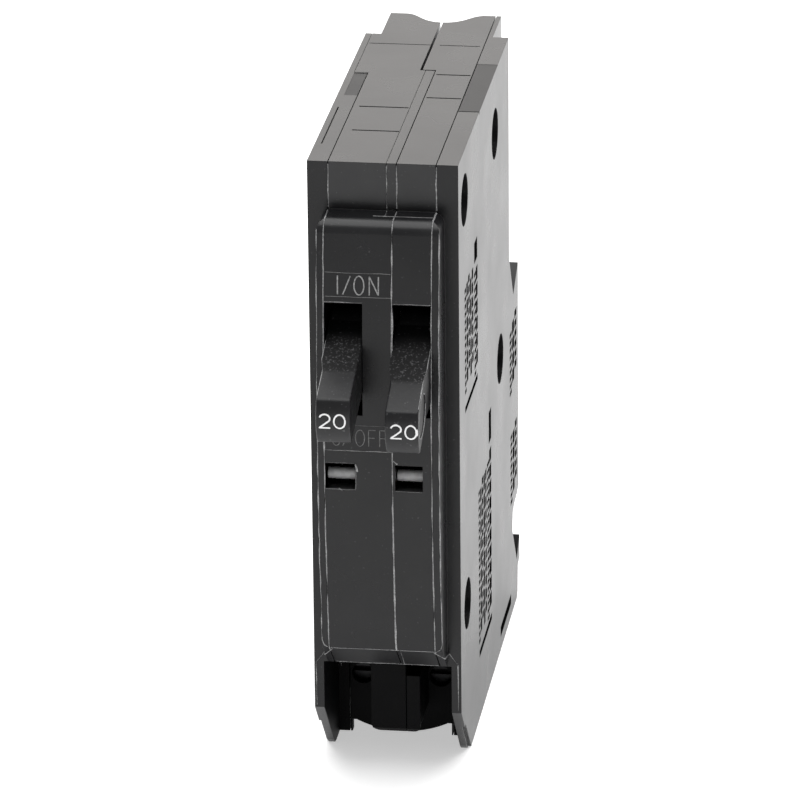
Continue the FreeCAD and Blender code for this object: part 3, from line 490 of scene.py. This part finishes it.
# the switch positions above and below the slots, between band lines
brighter_marks = Ribbons()
for glyph, x, width in (("I", -5.1, 0.5), ("/", -4.2, 0.9), ("O", -2.9, 1.3), ("N", -1.1, 1.3)):
    write(brighter_marks, drop_front, glyph, x, 65.05, width, 2.3, 0.26, 0.05)
brighter_marks.run(drop_front, [(-6.5, 45.3), (1.7, 45.3)], 0.14, 0.05, 33, spread=0.2)
brighter_marks.make("position_marks_on", BRIGHT, "case")

marks = Ribbons()
OFF_GLYPHS = (("O", -5.7, 1.2), ("/", -4.3, 0.9), ("O", -2.8, 1.2), ("F", -1.25, 1.0), ("F", 0.1, 1.0))
for glyph, x, width in OFF_GLYPHS:
    write(marks, drop_front, glyph, x, 45.95, width, 2.1, 0.18, 0.05)
for seed, z in enumerate((67.7, 64.75, 48.6)):
    marks.run(drop_front, [(-6.4, z), (1.6, z)], 0.12, 0.04, 30 + seed, spread=0.2)
marks.make("position_marks_off", RAISED, "case")


def engraving_fill():
    """Matte fill in the engraved bars of the right cover, almost level with its side."""
    depth, level = 0.12 * MM, 0.01 * MM
    mesh = frame["nodes"]["cover_right"].data
    outer = max(v.co.x for v in mesh.vertices)
    vertices, polygons = [], []
    for polygon in mesh.polygons:
        points = [mesh.vertices[i].co for i in polygon.vertices]
        if all(abs(p.x - (outer - depth)) < 0.01 * MM for p in points):
            base = len(vertices)
            vertices += [Vector((outer - level, p.y, p.z)) for p in points]
            polygons.append([base + i for i in range(len(points))])
    add_mesh("side_marks_fill", vertices, polygons, INK, "case")


engraving_fill()


# ------------------------------------------------------------------ handle edges, painted highlights

# the handles' pivot as (y, z) in mm, and how far below level each one rests, in degrees
PIVOT = (1.0, 58.0)
REST = {"left": 20.0, "right": 24.7}


def on_handle(word, x, along, up):
    """A point given in a handle's own section, whose finger block points to -along."""
    turn = math.radians(REST[word])
    y = PIVOT[0] + along * math.cos(turn) - up * math.sin(turn)
    z = PIVOT[1] + along * math.sin(turn) + up * math.cos(turn)
    return at(x, y, z)


def handle_lines(word, root_x, x, side, ring):
    """Pale strips of painted highlight along the outer top edge and, with ring, in an oval on the side."""
    lines = Ribbons()
    edge = []
    for along in np.linspace(-5.5, -16.0, 28):
        edge_x = np.interp(-along, [9.0, 11.0], [root_x, x]) - side * 0.04
        edge.append(on_handle(word, float(edge_x), along, 2.9 - 0.030 * along))
    slope = Vector((side * 0.6, 0, 0.8))
    lines.strip(edge, [slope] * len(edge), 0.10 * (1 + wobble(len(edge), 0.4, 61)), 0.03)
    if ring:
        angles = np.radians(np.linspace(20, 340, 40))
        oval = [on_handle(word, x, -14.2 + 3.1 * math.cos(a), 0.4 + 2.3 * math.sin(a)) for a in angles]
        lines.strip(oval, [Vector((side, 0, 0))] * len(oval), 0.16 * (1 + wobble(len(oval), 0.3, 62)), 0.03)
    lines.make("handle_edge_highlight_" + word, FLASH_AND_HIGHLIGHT, "handle_" + word)


handle_lines("left", -6.42, -6.05, -1, False)
handle_lines("right", 6.42, 6.2, 1, True)


# ------------------------------------------------------------------ studio


def area(name, location, target, size_x, size_y, radiance, colour=(1.0, 1.0, 1.0)):
    """A rectangular softbox of the given radiance."""
    light = bpy.data.lights.new(name, "AREA")
    light.shape = "RECTANGLE"
    light.size = size_x
    light.size_y = size_y
    light.energy = radiance * math.pi * size_x * size_y
    light.color = colour
    obj = bpy.data.objects.new(name, light)
    obj.location = location
    obj.rotation_euler = (Vector(target) - Vector(location)).to_track_quat("-Z", "Y").to_euler()
    bpy.context.scene.collection.objects.link(obj)


FLOOR_REACH = 3.0
floor_corners = [(a * FLOOR_REACH, b * FLOOR_REACH, 0) for a, b in ((-1, -1), (1, -1), (1, 1), (-1, 1))]
floor_mesh = bpy.data.meshes.new("floor")
floor_mesh.from_pydata(floor_corners, [], [(0, 1, 2, 3)])
floor_mesh.materials.append(FLOOR)
floor = bpy.data.objects.new("floor", floor_mesh)
bpy.context.scene.collection.objects.link(floor)

world = bpy.data.worlds.new("studio")
bpy.context.scene.world = world
world.use_nodes = True
world.node_tree.nodes["Background"].inputs["Color"].default_value = (1.0, 1.0, 1.0, 1)
world.node_tree.nodes["Background"].inputs["Strength"].default_value = 0.30

area("overhead_softbox", (0.0, 0.15, 1.0), (0, 0.05, 0), 1.5, 1.4, 2.6)
area("back_softbox", (0.0, 1.1, 0.42), (0, 0, 0.1), 1.9, 0.85, 1.6, (1.0, 0.972, 0.945))

AZIMUTH, ELEVATION, ROLL = math.radians(7.933), math.radians(20.898), math.radians(-0.568)
CAMERA_DISTANCE = 0.797
FOCAL_LENGTH = 283.96
camera_data = bpy.data.cameras.new("camera")
camera_data.lens = FOCAL_LENGTH
camera_data.sensor_width = 36.0
camera = bpy.data.objects.new("camera", camera_data)
bpy.context.scene.collection.objects.link(camera)
target = at(-2.153, 28.8, 38.63)
toward = Vector((math.sin(AZIMUTH) * math.cos(ELEVATION), -math.cos(AZIMUTH) * math.cos(ELEVATION),
                 math.sin(ELEVATION)))
camera.location = target + toward * CAMERA_DISTANCE
look = (-toward).to_track_quat("-Z", "Y").to_matrix().to_4x4()
camera.matrix_world = Matrix.Translation(camera.location) @ look @ Matrix.Rotation(ROLL, 4, "Z")
camera_data.clip_start = 0.01
bpy.context.scene.camera = camera

bpy.context.scene.view_settings.view_transform = "Standard"
bpy.context.scene.view_settings.look = "None"
